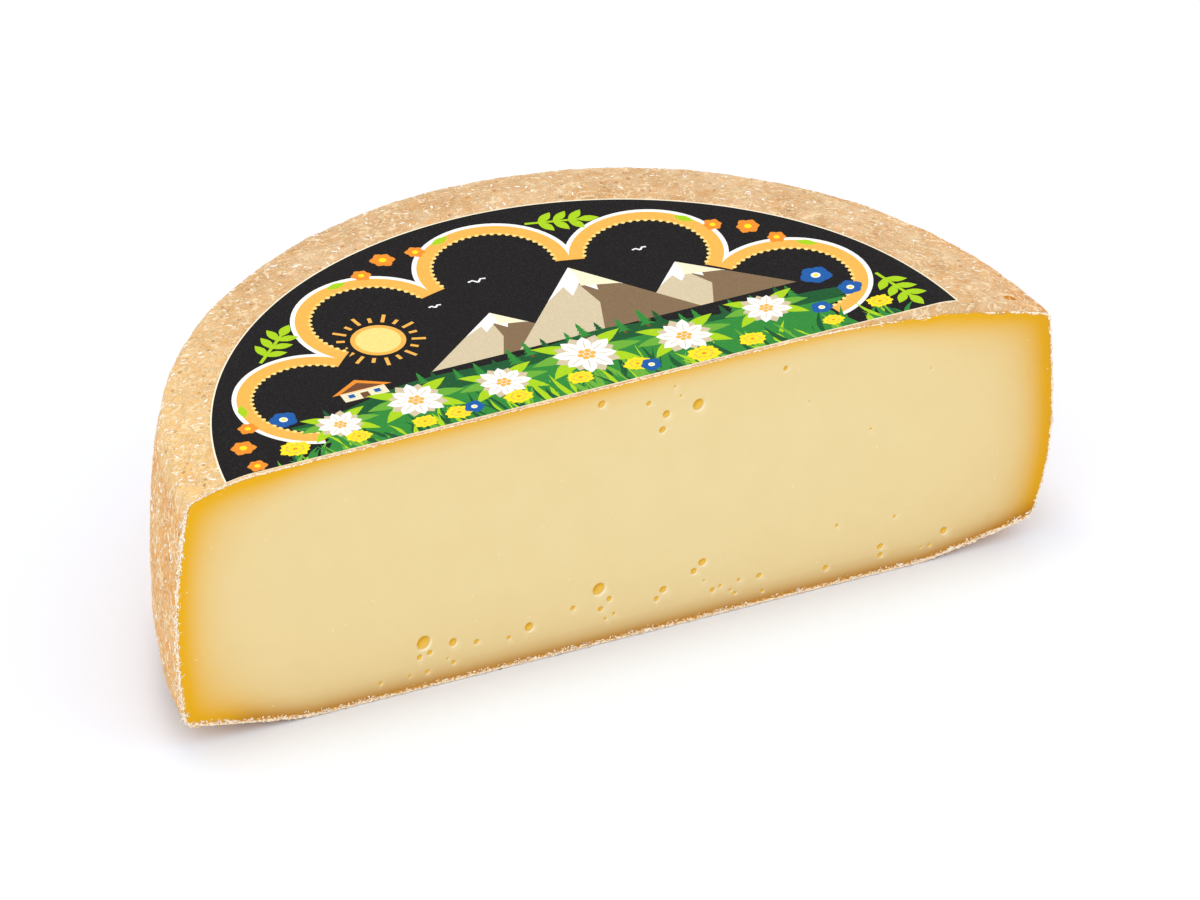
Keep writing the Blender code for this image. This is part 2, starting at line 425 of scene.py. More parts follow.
def eye_depth(reach, half):
    """A bubble's hollow with a softly rounded lip."""
    if reach >= EYE_LIP_END:
        return 0.0
    inner = min(reach, EYE_RIM) * 0.97
    depth = 2 * half * EYE_DEPTH_SHARE * math.sqrt(1 - inner**2) ** 0.85
    if reach <= EYE_RIM:
        return depth
    return depth * ((EYE_LIP_END - reach) / (EYE_LIP_END - EYE_RIM)) ** 2.6


def eye_shade(place, index):
    """How dark the inside of an eye is, from 0 at its lower right to 1 at its upper left."""
    middle, half, _ = eye_shape(index)
    across = (Vector(place) - middle).dot(SHADE_WAY) / half
    return smooth_share(-0.7, 0.4, across)


def painted_lip_highlight(place, index, reach):
    """How strong the painted highlight on the moist lip of an eye is, which lies at its lower right."""
    away = (Vector(place) - eye_shape(index)[0]).normalized()
    facing = max(0.0, away.dot(LIP_HIGHLIGHT_WAY))
    return facing * math.exp(-(((reach - 1.13) / 0.17) ** 2))


def rim_distances(loop_points, places):
    """Distance from each place on the cut face to the nearest point of its outline."""
    outline = np.array(loop_points)
    found = []
    for chunk in np.array_split(np.array(places), max(1, len(places) // 500)):
        gaps = np.linalg.norm(chunk[:, None, :] - outline[None, :, :], axis=2)
        found.append(gaps.min(axis=1))
    return np.concatenate(found)


def rim_offsets(points):
    """Places inside the cut face's outline, row by row, for the worked edge of the rind."""
    outline = np.array(points)
    ahead = np.roll(outline, -2, axis=0) - np.roll(outline, 2, axis=0)
    inward = np.stack([-ahead[:, 1], ahead[:, 0]], 1)
    inward /= np.linalg.norm(inward, axis=1)[:, None]
    found = []
    for number, step in enumerate(RIM_STEPS):
        keep = slice(number % 2, None, 1 if number < 3 else 2)
        places = (outline + inward * step)[keep]
        gaps = rim_distances(points, places)
        found += [tuple(place) for place, gap in zip(places, gaps) if gap > step * 0.93]
    return found


def build_cheese():
    """The whole cheese as points and faces, with the outline of its cut and the points inside it."""
    made = Builder()
    grid = []
    for row in outline_rows():
        points = [uneven(point) for point in on_half_wheel(row)]
        points[0] = (points[0][0], CUT_BEYOND_AXIS, points[0][2])
        points[-1] = (points[-1][0], CUT_BEYOND_AXIS, points[-1][2])
        grid.append(made.add_points(points))
    for low, high in zip(grid, grid[1:]):
        for i in range(COLUMNS):
            made.add_face((low[i], low[i + 1], high[i + 1], high[i]), 0)

    # The straight edges along the cut, right to left over the top and left to right below
    right, left = [row[0] for row in grid], [row[-1] for row in grid]
    chords = {}
    for name, surface, row, way in (("top", top_height, -1, 1), ("base", base_height, 0, -1)):
        ends = (made.points[grid[row][0]][0], made.points[grid[row][-1]][0])[::way]
        points = []
        for x in chord(*ends):
            points.append((x, CUT_BEYOND_AXIS, float(surface(*polar(x)))))
        chords[name] = made.add_points(points)

    caps = (("top", top_height, TOP_RING_FROM, -1, 1), ("base", base_height, BASE_RING_FROM, 0, -1))
    for name, surface, ring, row, way in caps:
        inside = []
        for place in staggered((-ring, CUT_BEYOND_AXIS + 4 * MM), (ring, ring), CAP_STEP):
            if math.hypot(*place) < ring - CAP_STEP / 2:
                inside.append(place)
        for number in range(1, 5):
            y = CUT_BEYOND_AXIS + number * CHORD_STEP
            for i in chords[name][1:-1]:
                inside.append((made.points[i][0] + CHORD_STEP / 2 * (number % 2), y))
        lifted = [(x, y, float(surface(*polar(x, y)))) for x, y in inside]
        edge = grid[row][:: -way]
        loop = chords[name][:: way] + edge if way < 0 else chords[name] + edge
        made.fill(loop, made.add_points(lifted), (0, 1), 0, flip=way < 0)

    # The cut face
    loop = right + chords["top"] + left[::-1] + chords["base"]
    flat_loop = [(made.points[i][0], made.points[i][2]) for i in loop]
    inside = rim_offsets(flat_loop)
    wide = staggered((-WHEEL_RADIUS, 0), (WHEEL_RADIUS, WHEEL_HEIGHT), FACE_STEP)
    inside += [p for p, gap in zip(wide, rim_distances(flat_loop, wide)) if gap > 6.4 * MM]
    near_eye = []
    for place in inside:
        near_eye.append(min(eye_reach(place, i) for i in range(len(EYES_MM))) < EYE_RINGS[-1] + 0.2)
    inside = [place for place, near in zip(inside, near_eye) if not near]
    for i in range(len(EYES_MM)):
        inside.append(tuple(eye_shape(i)[0]))
        for reach in EYE_RINGS:
            inside += eye_ring(i, reach)
    ids = made.add_points([(x, CUT_BEYOND_AXIS, z) for x, z in inside])
    made.fill(loop, ids, (0, 2), 1)
    return made, loop, ids


def fold_height(x):
    """How far the rind comes down over the cut's top edge, in mm."""
    away = x / MM - FOLD_PLACE
    return FOLD_HEIGHT * math.exp(-((away / FOLD_SPREAD[1 if away > 0 else 0]) ** 2))


def above_paste(x, z):
    """How far a place on the cut face lies above the paste's upper edge, in mm."""
    return (z - float(top_height(*polar(x)))) / MM + fold_height(x)


def rim_gaps(x, z):
    """Distances in mm from a place on the cut face to the side, the top and the base."""
    radius, angle = polar(x)
    side = float(side_radius(z, angle)) - radius
    top = -above_paste(x, z) * MM
    base = z - float(base_height(radius, angle))
    return [max(0.0, gap) / MM for gap in (side, top, base)]


def fading(distance, strength, reach, power=1.0):
    """A tint's strength at a distance from where it is strongest."""
    return strength * math.exp(-((distance / reach) ** power))


def paste_tint(x, z):
    """How golden and how brown the paste is at a place on the cut face, both from 0 to 1. The brown above
    the base is partly painted shade.
    """
    side, top, base = rim_gaps(x, z)
    right = smooth_share(-RIGHTWARD, RIGHTWARD, x / MM)
    paler = smooth_share(*(TOP_PALES_RIGHT if x > 0 else TOP_PALES_LEFT), side)
    top = top * mix(1, 1.15, right) * mix(1, 1.5, paler) + 0.8 * right + 2.5 * paler
    corner = base + mix(26 * smooth_share(12, 60, side), 60, right)
    rims = (side * mix(1, 1.06, right), top, corner)
    depth = sum((gap + 0.1) ** -1.5 for gap in rims) ** (-1 / 1.5)
    golden = fading(depth, *GOLDEN_BAND, 2) + fading(depth, *GOLDEN_HAZE)
    # Above the base the brown is partly painted shade; it is held back near the left end, where the paste
    # stays golden
    base += 6 * (1 - right) * (1 - smooth_share(5, 24, side))
    brown = fading(base, *BROWN_AND_SHADE_BAND, 1.6) + fading(base, *BROWN_AND_SHADE_HAZE)
    brown += right * fading(side, *BROWN_RIGHT)
    return min(1.0, golden), min(1.0, brown)


def crust_width(x, z):
    """Width in mm of the pale crust that shows at the rim of the cut face."""
    side, top, base = rim_gaps(x, z)
    nearest = min(side, top, base)
    if nearest == base:
        return CRUST_BASE
    if nearest == top:
        return mix(CRUST_SIDE, CRUST_TOP, smooth_share(15, 40, side))
    return CRUST_SIDE


def finish_cheese(made, loop, face_ids, paints):
    """Turns the points into the mesh and gives the rind and the cut face their relief."""
    mesh = meshed("cheese", made.points, made.faces, paints, made.kinds)
    normals = np.zeros(len(mesh.vertices) * 3)
    mesh.vertices.foreach_get("normal", normals)
    normals = normals.reshape(-1, 3)
    points = np.array(made.points)
    loop_set, face_set = set(loop), set(face_ids)
    flat_loop = [(made.points[i][0], made.points[i][2]) for i in loop]
    gaps = dict(zip(face_ids, rim_distances(flat_loop, [points[i][[0, 2]] for i in face_ids])))
    names = ("golden", "brown", "crust", "fold", "eye", "deep", "lip")
    layers = {name: np.zeros(len(points)) for name in names}
    for i in range(len(points)):
        here = Vector(points[i])
        if i in face_set or i in loop_set:
            layers["golden"][i], layers["brown"][i] = paste_tint(here.x, here.z)
            folded = above_paste(here.x, here.z)
            layers["fold"][i] = folded
            if folded > 0:
                points[i][1] += FOLD_DEPTH * min(1.0, folded / FOLD_HEIGHT)
        if i in face_set:
            gap = gaps[i] / MM
            if fold_height(here.x) > 0.1:
                gap = min(gap, abs(folded))
            layers["crust"][i] = gap / crust_width(here.x, here.z)
            place = (here.x, here.z)
            reaches = [eye_reach(place, k) for k in range(len(EYES_MM))]
            nearest = int(np.argmin(reaches))
            push = eye_depth(reaches[nearest], eye_shape(nearest)[1])
            layers["eye"][i] = max(0.0, min(1.0, (1.06 - reaches[nearest]) / 0.16))
            # Painted shade inside the eye, darkest at its upper left
            layers["deep"][i] = eye_shade(place, nearest)
            # A painted highlight on the lower right of the eye's lip
            layers["lip"][i] = painted_lip_highlight(place, nearest, reaches[nearest])
            push += waves(here, *FACE_GRAIN) * max(0.0, 1 - gap / FACE_GRAIN_WITHIN)
            points[i][1] += push + waves(here, *FACE_WAVES)
        elif i in loop_set:
            jitter = noise.noise_vector(here / (RIM_RAGGED[0] * MM))
            points[i] += np.array(jitter) * RIM_RAGGED[1] * MM
        else:
            points[i] += normals[i] * rind_relief(here)
    points[:, 2] = np.maximum(points[:, 2], 0.0)
    points += np.array(AXIS)
    mesh.vertices.foreach_set("co", points.ravel())
    for name, values in layers.items():
        layer = mesh.attributes.new(name, "FLOAT", "POINT")
        layer.data.foreach_set("value", values)
    mesh.shade_smooth()
    mesh.update()
    return placed("cheese", mesh)


def rind_relief(point):
    """Height of the rind's wrinkles over its smooth outline. It is flat under the label."""
    bent = point + noise.noise_vector(point / (RIND_BEND[0] * MM)) * RIND_BEND[1] * MM
    crease = 0.5 * RIND_CREASES[1] * MM - abs(waves(bent, *RIND_CREASES))
    height = waves(point, *RIND_LUMPS) + waves(point, *RIND_WRINKLES) + crease
    if point.z > WHEEL_HEIGHT * 0.8:
        from_label = (point.xy - LABEL_OFFSET).length - LABEL_RADIUS
        height *= smooth_share(-2 * MM, 1.5 * MM, from_label)
    if point.z < 1.5 * MM:
        height *= smooth_share(0.0, 1.5 * MM, point.z)
    return height - DENT_DEPTH * math.exp(-(((point - DENT_PLACE).length / DENT_WIDTH) ** 2))


class Strands:
    """Many small bent strands and crumbs in one mesh."""

    def __init__(self):
        self.points = []
        self.faces = []

    def add(self, middles, normals, width, flat=0.8):
        """One strand along its middle line. The normals are those of the surface it lies on."""
        first = len(self.points)
        count = len(middles)
        for i, (middle, normal) in enumerate(zip(middles, normals)):
            ahead = (middles[min(i + 1, count - 1)] - middles[max(i - 1, 0)]).normalized()
            side = ahead.cross(normal).normalized()
            up = side.cross(ahead)
            taper = math.sin(math.pi * mix(0.12, 0.88, i / (count - 1))) ** 0.7
            for turn in range(STRAND_SIDES):
                angle = 2 * math.pi * turn / STRAND_SIDES
                reach = side * math.cos(angle) + up * (math.sin(angle) * flat)
                self.points.append(middle + reach * (width / 2 * taper))
        last = first + (count - 1) * STRAND_SIDES
        for ring in range(first, last, STRAND_SIDES):
            for turn in range(STRAND_SIDES):
                here, beside = ring + turn, ring + (turn + 1) % STRAND_SIDES
                self.faces.append((here, here + STRAND_SIDES, beside + STRAND_SIDES, beside))
        self.faces.append(tuple(first + turn for turn in range(STRAND_SIDES)))
        self.faces.append(tuple(last + turn for turn in reversed(range(STRAND_SIDES))))

    def piece(self, name, paint):
        for point in self.points:
            point.z = max(point.z, STRAND_LOWEST)
        mesh = meshed(name, self.points, self.faces, [paint])
        mesh.shade_smooth()
        made = placed(name, mesh)
        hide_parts("half_wheel")
        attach(made, "root")


def rim_track(cheese, loop):
    """The cut's outline at even steps: place, direction and the way out, all in the cut plane."""
    corners = [cheese.data.vertices[i].co.copy() for i in loop]
    corners.append(corners[0])
    found = []
    left_over = 0.0
    for start, end in zip(corners, corners[1:]):
        length = (end - start).length
        along = left_over
        while along < length:
            found.append(start.lerp(end, along / length))
            along += RIM_STEP
        left_over = along - length
    track = []
    for i, place in enumerate(found):
        ahead = found[(i + 6) % len(found)] - found[i - 6]
        ahead = Vector((ahead.x, 0, ahead.z)).normalized()
        track.append((place, ahead, Vector((ahead.z, 0, -ahead.x))))
    return track


def add_shred(strands, random, place, way, length, width, bow):
    """A short strand lying on the cut plane, bent by bow."""
    side = Vector((way.z, 0, -way.x))
    front = Vector((0, -1, 0))
    middles = []
    for step in (-1.0, -0.4, 0.2, 0.7, 1.0):
        shift = side * (bow * (1 - step * step)) + front * random.uniform(-0.08, 0.12) * MM
        middles.append(place + way * (length / 2 * step) + shift)
    strands.add(middles, [front] * len(middles), width)


def build_rim(cheese, loop, paint):
    """The frayed and crumbled crust along the edges of the cut."""
    strands = Strands()
    random = np.random.RandomState(RIM_SEED)
    for place, ahead, out in rim_track(cheese, loop):
        local_x = place.x - AXIS.x
        end_gap = WHEEL_RADIUS - abs(local_x)
        if out.z < -0.6:
            kind = "base"
        elif out.z > 0.6:
            kind = "fold" if fold_height(local_x) > 1.4 else "top"
            place = place - Vector((0, 0, fold_height(local_x) * MM))
        else:
            kind = "left" if local_x < 0 else "right"
        for chance, out_range, length, width, turn in RIM_KINDS[kind]:
            if kind == "top" and end_gap > TOP_FRAYS_WITHIN:
                chance *= 0.35
            if random.uniform() > chance:
                continue
            angle = math.radians(random.uniform(-turn, turn))
            way = ahead * math.cos(angle) + out * math.sin(angle)
            spot = place + out * (random.uniform(*out_range) * MM)
            spot.y = place.y + random.uniform(-0.1, 0.25) * MM
            size = random.uniform(0.55, 1.25)
            bow = random.uniform(-0.22, 0.22) * length * MM
            add_shred(strands, random, spot, way, length * size * MM, width * size * MM, bow)
    strands.piece("rim_shreds", paint)


def surface_spots(random, count, low_height):
    """Random places on the rind's side and top ring, with their angle round the wheel."""
    found = []
    while len(found) < count:
        angle = random.uniform(0.02, math.pi - 0.02)
        run = random.uniform(0, RIND_RUN)
        if run < WHEEL_HEIGHT:
            radius, height = WHEEL_RADIUS, max(run, low_height)
        else:
            radius, height = WHEEL_RADIUS - (run - WHEEL_HEIGHT), WHEEL_HEIGHT
        spot = Vector((radius * math.cos(angle), radius * math.sin(angle), height))
        if spot.y < CUT_BEYOND_AXIS + 0.5 * MM:
            continue
        if height == WHEEL_HEIGHT and (spot.xy - LABEL_OFFSET).length < LABEL_RADIUS + 1.2 * MM:
            continue
        found.append((spot + AXIS, angle))
    return found


def lay_strand(tree, random, spot, angle, length, spread, wander, lift):
    """The middle line of a strand that wanders over the rind, with the surface's normals."""
    place, normal, _, _ = tree.find_nearest(spot)
    round_the_wheel = Vector((-math.sin(angle), math.cos(angle), 0))
    uphill = normal.cross(round_the_wheel).normalized()
    heading = random.normal(math.pi / 2, spread)
    middles, normals = [], []
    turn = random.uniform(-wander, wander)
    for _ in range(STRAND_STEPS):
        middles.append(place + normal * lift)
        normals.append(normal)
        ahead = round_the_wheel * math.cos(heading) + uphill * math.sin(heading)
        place, normal, _, _ = tree.find_nearest(place + ahead * (length / (STRAND_STEPS - 1)))
        heading += turn + random.uniform(-wander, wander) * 0.6
    return middles, normals


def build_rind_strands(cheese, fibre_paint, fleck_paint):
    """Pale dried fibres that cling to the rind, and short white flecks of dried smear."""
    tree = BVHTree.FromObject(cheese, bpy.context.evaluated_depsgraph_get())
    random = np.random.RandomState(RIND_SEED)
    fibres, flecks = Strands(), Strands()
    for spot, angle in surface_spots(random, FIBRES, 2 * MM):
        on_top = spot.z > WHEEL_HEIGHT * 0.97
        if noise.noise(spot / (9 * MM)) < random.uniform(-0.35, 0.3):
            continue
        length = random.uniform(1.6, 3.4 if on_top else 8.5) * MM
        width = random.uniform(0.22, 0.4) * (0.85 if on_top else 1.0) * MM
        spread, wander = (1.4, 0.9) if on_top else (0.7, 0.3)
        line = lay_strand(tree, random, spot, angle, length, spread, wander, width * 0.15)
        if min(middle.y for middle in line[0]) > CUT_Y:
            fibres.add(*line, width)
    for spot, angle in surface_spots(random, FLECKS, 20 * MM):
        chance = mix(0.25, 1.0, 0.5 - 0.5 * math.cos(angle))
        chance *= mix(0.3, 1.0, smooth_share(40 * MM, 80 * MM, spot.z))
        if random.uniform() > chance:
            continue
        length = random.uniform(0.9, 2.3) * MM
        width = random.uniform(0.45, 0.9) * MM
        line = lay_strand(tree, random, spot, angle, length, 0.7, 0.3, width * 0.05)
        if min(middle.y for middle in line[0]) > CUT_Y:
            flecks.add(*line, width, 0.6)
    fibres.piece("rind_fibres", fibre_paint)
    flecks.piece("rind_flecks", fleck_paint)


# Paste and rind colours, as sRGB from 0 to 255
PASTE = (228, 208, 155)
PASTE_DULL = (226, 205, 151)
PASTE_GOLDEN = (226, 168, 10)
# Brown of the paste; above the base it is partly painted shade
PASTE_BROWN_AND_SHADE = (174, 114, 6)
PASTE_SPECK = (250, 240, 208)
# The inside of an eye, painted lit at its lower right and shaded at its upper left
EYE_GOLD_LIT = (238, 200, 84)
EYE_GOLD_SHADED = (216, 162, 14)
# A pale painted highlight on the lower right lip of an eye
EYE_LIP_HIGHLIGHT = (250, 238, 204)
CRUST_TAN = (206, 148, 66)
CRUST_PALE = (250, 232, 200)
RIND_TOP = [(0.36, (202, 150, 96)), (0.46, (212, 166, 114)), (0.6, (224, 184, 138))]
RIND_SIDE = [(0.36, (206, 128, 48)), (0.46, (218, 144, 62)), (0.6, (230, 164, 84))]
RIND_LEFT = (254, 210, 132)
RIND_ORANGE = (222, 152, 64)
RIND_FIBRE = (251, 230, 190)
RIND_PALE = (250, 226, 184)
RIND_DARK = (196, 128, 60)
RIND_PIT = (196, 124, 46)
RIND_NICK = (204, 126, 20)
# Strands of each kind, dull and bright
CRUST_STRANDS = ((220, 170, 104), (255, 250, 234))
FIBRE_STRANDS = ((240, 200, 138), (252, 232, 192))
FLECK_STRANDS = ((254, 244, 222), (255, 252, 244))


def linear(colour):
    """An sRGB colour given as 0 to 255, as the linear values a shader takes."""
    shares = [value / 255 for value in colour]
    return tuple(c / 12.92 if c <= 0.04045 else ((c + 0.055) / 1.055) ** 2.4 for c in shares) + (1.0,)


class Paint:
    """A procedural material, with short calls for its nodes."""

    def __init__(self, name, roughness, specular=0.5):
        self.material = bpy.data.materials.new(name)
        self.material.use_nodes = True
        self.tree = self.material.node_tree
        self.shader = self.tree.nodes["Principled BSDF"]
        self.shader.inputs["Roughness"].default_value = roughness
        self.shader.inputs["Specular IOR Level"].default_value = specular
        place = self.tree.nodes.new("ShaderNodeTexCoord")
        self.place = self.mapped(place.outputs["Object"], scale=(1 / MM, 1 / MM, 1 / MM))

    def put(self, socket, value):
        if isinstance(value, bpy.types.NodeSocket):
            self.tree.links.new(value, socket)
        else:
            socket.default_value = value

    def add(self, kind, inputs, **settings):
        node = self.tree.nodes.new("ShaderNode" + kind)
        for name, value in settings.items():
            setattr(node, name, value)
        for name, value in inputs.items():
            self.put(node.inputs[name], value)
        return node

    def mapped(self, vector, scale=(1, 1, 1), turn=(0, 0, 0), shift=(0, 0, 0)):
        inputs = {"Vector": vector, "Scale": scale, "Rotation": turn, "Location": shift}
        return self.add("Mapping", inputs).outputs[0]

    def noise(self, vector, size, detail=2.0, rough=0.5):
        inputs = {"Vector": vector, "Scale": 1 / size, "Detail": detail, "Roughness": rough}
        return self.add("TexNoise", inputs).outputs["Fac"]

    def cells(self, vector, size, feature="F1"):
        inputs = {"Vector": vector, "Scale": 1 / size}
        return self.add("TexVoronoi", inputs, feature=feature)

    def warped(self, vector, size, amount):
        """The place pushed about by noise, so that what it drives bends."""
        shove = self.add("TexNoise", {"Vector": vector, "Scale": 1 / size}).outputs["Color"]
        centred = self.add("VectorMath", {0: shove, 1: (0.5, 0.5, 0.5)}, operation="SUBTRACT")
        grown = self.add("VectorMath", {0: centred.outputs[0], "Scale": amount}, operation="SCALE")
        pushed = self.add("VectorMath", {0: vector, 1: grown.outputs[0]}, operation="ADD")
        return pushed.outputs[0]

    def math(self, operation, first, second=0.0):
        return self.add("Math", {0: first, 1: second}, operation=operation).outputs[0]

    def times(self, first, second):
        return self.math("MULTIPLY", first, second)

    def plus(self, first, second):
        return self.math("ADD", first, second)

    def minus(self, first, second):
        return self.math("SUBTRACT", first, second)

    def along(self, axis):
        return self.add("SeparateXYZ", {"Vector": self.place}).outputs[axis]

    def between(self, value, low, high):
        """0 where value is at low, 1 where it is at high, smooth between."""
        inputs = {"Value": value, "From Min": low, "From Max": high}
        return self.add("MapRange", inputs, interpolation_type="SMOOTHSTEP").outputs["Result"]

    def line(self, value, width):
        """1 along the lines where a noise crosses its middle value."""
        away = self.math("ABSOLUTE", self.minus(value, 0.5))
        return self.between(away, width, width * 0.25)

    def mixed(self, share, first, second):
        return self.add("Mix", {0: share, 6: first, 7: second}, data_type="RGBA").outputs[2]

    def tinted(self, base, share, colour):
        return self.mixed(share, base, linear(colour))

    def ramp(self, value, stops):
        node = self.add("ValToRGB", {"Fac": value})
        ramp = node.color_ramp
        while len(ramp.elements) < len(stops):
            ramp.elements.new(0.5)
        for element, (place, colour) in zip(ramp.elements, stops):
            element.position = place
            element.color = linear(colour)
        return node.outputs["Color"]

    def attribute(self, name):
        return self.add("Attribute", {}, attribute_name=name).outputs["Fac"]

    def colour(self, value):
        self.put(self.shader.inputs["Base Color"], value)

    def bump(self, height, distance, strength=1.0):
        inputs = {"Height": height, "Distance": distance, "Strength": strength}
        if self.shader.inputs["Normal"].links:
            inputs["Normal"] = self.shader.inputs["Normal"].links[0].from_socket
        self.put(self.shader.inputs["Normal"], self.add("Bump", inputs).outputs["Normal"])


def rind_colour(paint):
    """Tan and orange with pale fine wrinkles and flecks, and the height of its fine relief."""
    place = paint.place
    tone = paint.noise(place, 24, 3, 0.6)
    patch = paint.noise(place, 6, 3, 0.55)
    mottle = paint.plus(paint.times(tone, 0.55), paint.times(patch, 0.45))
    on_top = paint.between(paint.along("Z"), WHEEL_HEIGHT / MM - 14, WHEEL_HEIGHT / MM - 5)
    base = paint.mixed(on_top, paint.ramp(mottle, RIND_SIDE), paint.ramp(mottle, RIND_TOP))
    leftness = paint.between(paint.along("X"), AXIS.x / MM - 60, AXIS.x / MM - 145)
    leftness = paint.times(leftness, paint.plus(0.2, paint.times(on_top, 0.35)))
    base = paint.tinted(base, leftness, RIND_LEFT)
    orange = paint.between(paint.noise(place, 9, 3, 0.6), 0.55, 0.7)
    base = paint.tinted(base, paint.times(orange, 0.4), RIND_ORANGE)

    # Worm-like pale lines, broad ones and finer ones in patches
    bent = paint.warped(place, 5.0, 5.5)
    lines = paint.line(paint.noise(paint.mapped(bent, (1, 1, 0.75)), 2.9, 0.6), 0.06)
    finer = paint.line(paint.noise(paint.mapped(bent, (1, 1, 0.7), (0.3, 0.4, 0.9)), 1.7, 0.5), 0.06)
    mask = paint.between(paint.noise(place, 4.0, 2), 0.42, 0.6)
    fibres = paint.math("MAXIMUM", lines, paint.times(finer, mask))
    share = paint.minus(0.72, paint.times(on_top, 0.17))
    base = paint.tinted(base, paint.times(fibres, share), RIND_FIBRE)

    # Grain, pits and the nick
    grain = paint.noise(bent, 1.0, 4, 0.75)
    strength = paint.minus(0.78, paint.times(on_top, 0.18))
    for low, high, most, colour in ((0.5, 0.66, 0.7, RIND_PALE), (0.44, 0.3, 0.6, RIND_DARK)):
        share = paint.times(paint.between(grain, low, high), paint.times(strength, most))
        base = paint.tinted(base, share, colour)
    pits = paint.between(paint.cells(place, 4.6).outputs["Distance"], 0.17, 0.09)
    base = paint.tinted(base, paint.times(pits, 0.6), RIND_PIT)
    shift = (-AXIS.x / MM - NICK_PLACE[0], -(AXIS.y / MM + NICK_PLACE[1]) * NICK_SQUASH, 0.0)
    nick = paint.mapped(paint.warped(place, 1.2, 0.9), (1, NICK_SQUASH, 0), shift=shift)
    nick = paint.add("VectorMath", {0: nick}, operation="LENGTH").outputs["Value"]
    base = paint.tinted(base, paint.between(nick, NICK_REACH, NICK_REACH - 0.6), RIND_NICK)
    height = paint.plus(paint.times(fibres, 0.8), paint.times(grain, 0.5))
    return base, paint.minus(height, pits)


def rind_paint():
    paint = Paint("rind", 0.78, 0.2)
    base, height = rind_colour(paint)
    paint.colour(base)
    paint.bump(height, 0.3 * MM)
    return paint.material


def paste_paint():
    """The cut paste: cream in the middle, golden towards the rind and brown above the base, where the
    brown is partly painted shade.
    """
    paint = Paint("paste", 0.5, 0.15)
    cloud = paint.noise(paint.place, 14, 4, 0.6)
    base = paint.ramp(cloud, [(0.3, PASTE_DULL), (0.7, PASTE)])
    base = paint.tinted(base, paint.attribute("golden"), PASTE_GOLDEN)
    # Brown, partly painted shade above the base
    base = paint.tinted(base, paint.attribute("brown"), PASTE_BROWN_AND_SHADE)
    speck = paint.between(paint.cells(paint.place, 6.5).outputs["Distance"], 0.05, 0.03)
    base = paint.tinted(base, paint.times(speck, 0.5), PASTE_SPECK)
    # Painted highlight on the eyes' lips
    base = paint.tinted(base, paint.attribute("lip"), EYE_LIP_HIGHLIGHT)
    # The inside of the eyes in painted lit and shaded gold
    inside = paint.mixed(paint.attribute("deep"), linear(EYE_GOLD_LIT), linear(EYE_GOLD_SHADED))
    base = paint.mixed(paint.attribute("eye"), base, inside)
    ragged = paint.times(paint.noise(paint.place, 0.8, 3, 0.7), 2.4)
    edge = paint.plus(paint.attribute("crust"), ragged)
    base = paint.tinted(base, paint.between(edge, 2.1, 1.85), CRUST_TAN)
    base = paint.tinted(base, paint.between(edge, 1.75, 1.5), CRUST_PALE)
    rind, relief = rind_colour(paint)
    folded = paint.between(paint.plus(paint.attribute("fold"), paint.times(ragged, 0.2)), 0.5, 0.8)
    paint.colour(paint.mixed(folded, base, rind))
    paint.bump(paint.plus(paint.noise(paint.place, 2.5, 4), paint.times(speck, 0.6)), 0.06 * MM)
    paint.bump(paint.times(relief, folded), 0.3 * MM)
    return paint.material


def strand_paint(name, dull, bright):
    """Dried crust and fibres, duller near the base."""
    paint = Paint(name, 0.7, 0.3)
    low = paint.times(paint.between(paint.along("Z"), 12, 5), 0.06)
    tone = paint.minus(paint.noise(paint.place, 0.9, 3, 0.7), low)
    paint.colour(paint.ramp(tone, [(0.28, dull), (0.52, bright)]))
    paint.bump(paint.noise(paint.place, 0.3, 2), 0.05 * MM)
    return paint.material


# Printing inks of the label, as sRGB colours from 0 to 255
INKS = {
    "black": (20, 17, 17),
    "gold": (238, 176, 78),
    "pale_gold": (250, 214, 128),
    "white": (243, 243, 240),
    "lime": (164, 203, 20),
    "deep_green": (22, 84, 42),
    "green": (46, 132, 52),
    "grass": (104, 168, 52),
    "yellow": (252, 220, 28),
    "orange": (232, 140, 40),
    "cream": (240, 231, 198),
    "sand": (206, 190, 158),
    "stone": (128, 104, 76),
    "blue": (24, 88, 160),
    "brown": (112, 70, 40),
    "paper": (247, 236, 210),
}
INK_NAMES = list(INKS)

# The label, in mm from its own centre: u to the right, v away from the cut
LABEL_TOP_GAP = 0.45 * MM
LABEL_SUNK = 0.05 * MM
LABEL_MM = LABEL_RADIUS / MM
LABEL_CUT_MM = (CUT_BEYOND_AXIS + LABEL_FROM_CUT - LABEL_OFFSET.y) / MM
PAPER_EDGE_MM = 0.5
LABEL_SEED = 7


def around(u, v, radius, angle, squash=1.0):
    return (u + radius * math.cos(angle), v + radius * squash * math.sin(angle))


def disc(u, v, radius, count=20, squash=1.0):
    return [around(u, v, radius, 2 * math.pi * i / count, squash) for i in range(count)]


def blade(root, tip, width, bend=0.0, steps=5, belly=0.5):
    """A leaf or a grass blade from root to tip, bent sideways, widest at belly."""
    root, tip = Vector(root), Vector(tip)
    along = tip - root
    side = Vector((-along.y, along.x)).normalized()
    left, right = [], []
    for i in range(steps + 1):
        t = i / steps
        middle = root + along * t + side * (bend * 4 * t * (1 - t))
        half = width / 2 * math.sin(math.pi * t ** (math.log(0.5) / math.log(belly)))
        if i in (0, steps):
            half = 0.03
        left.append(tuple(middle + side * half))
        right.append(tuple(middle - side * half))
    return left + right[::-1]


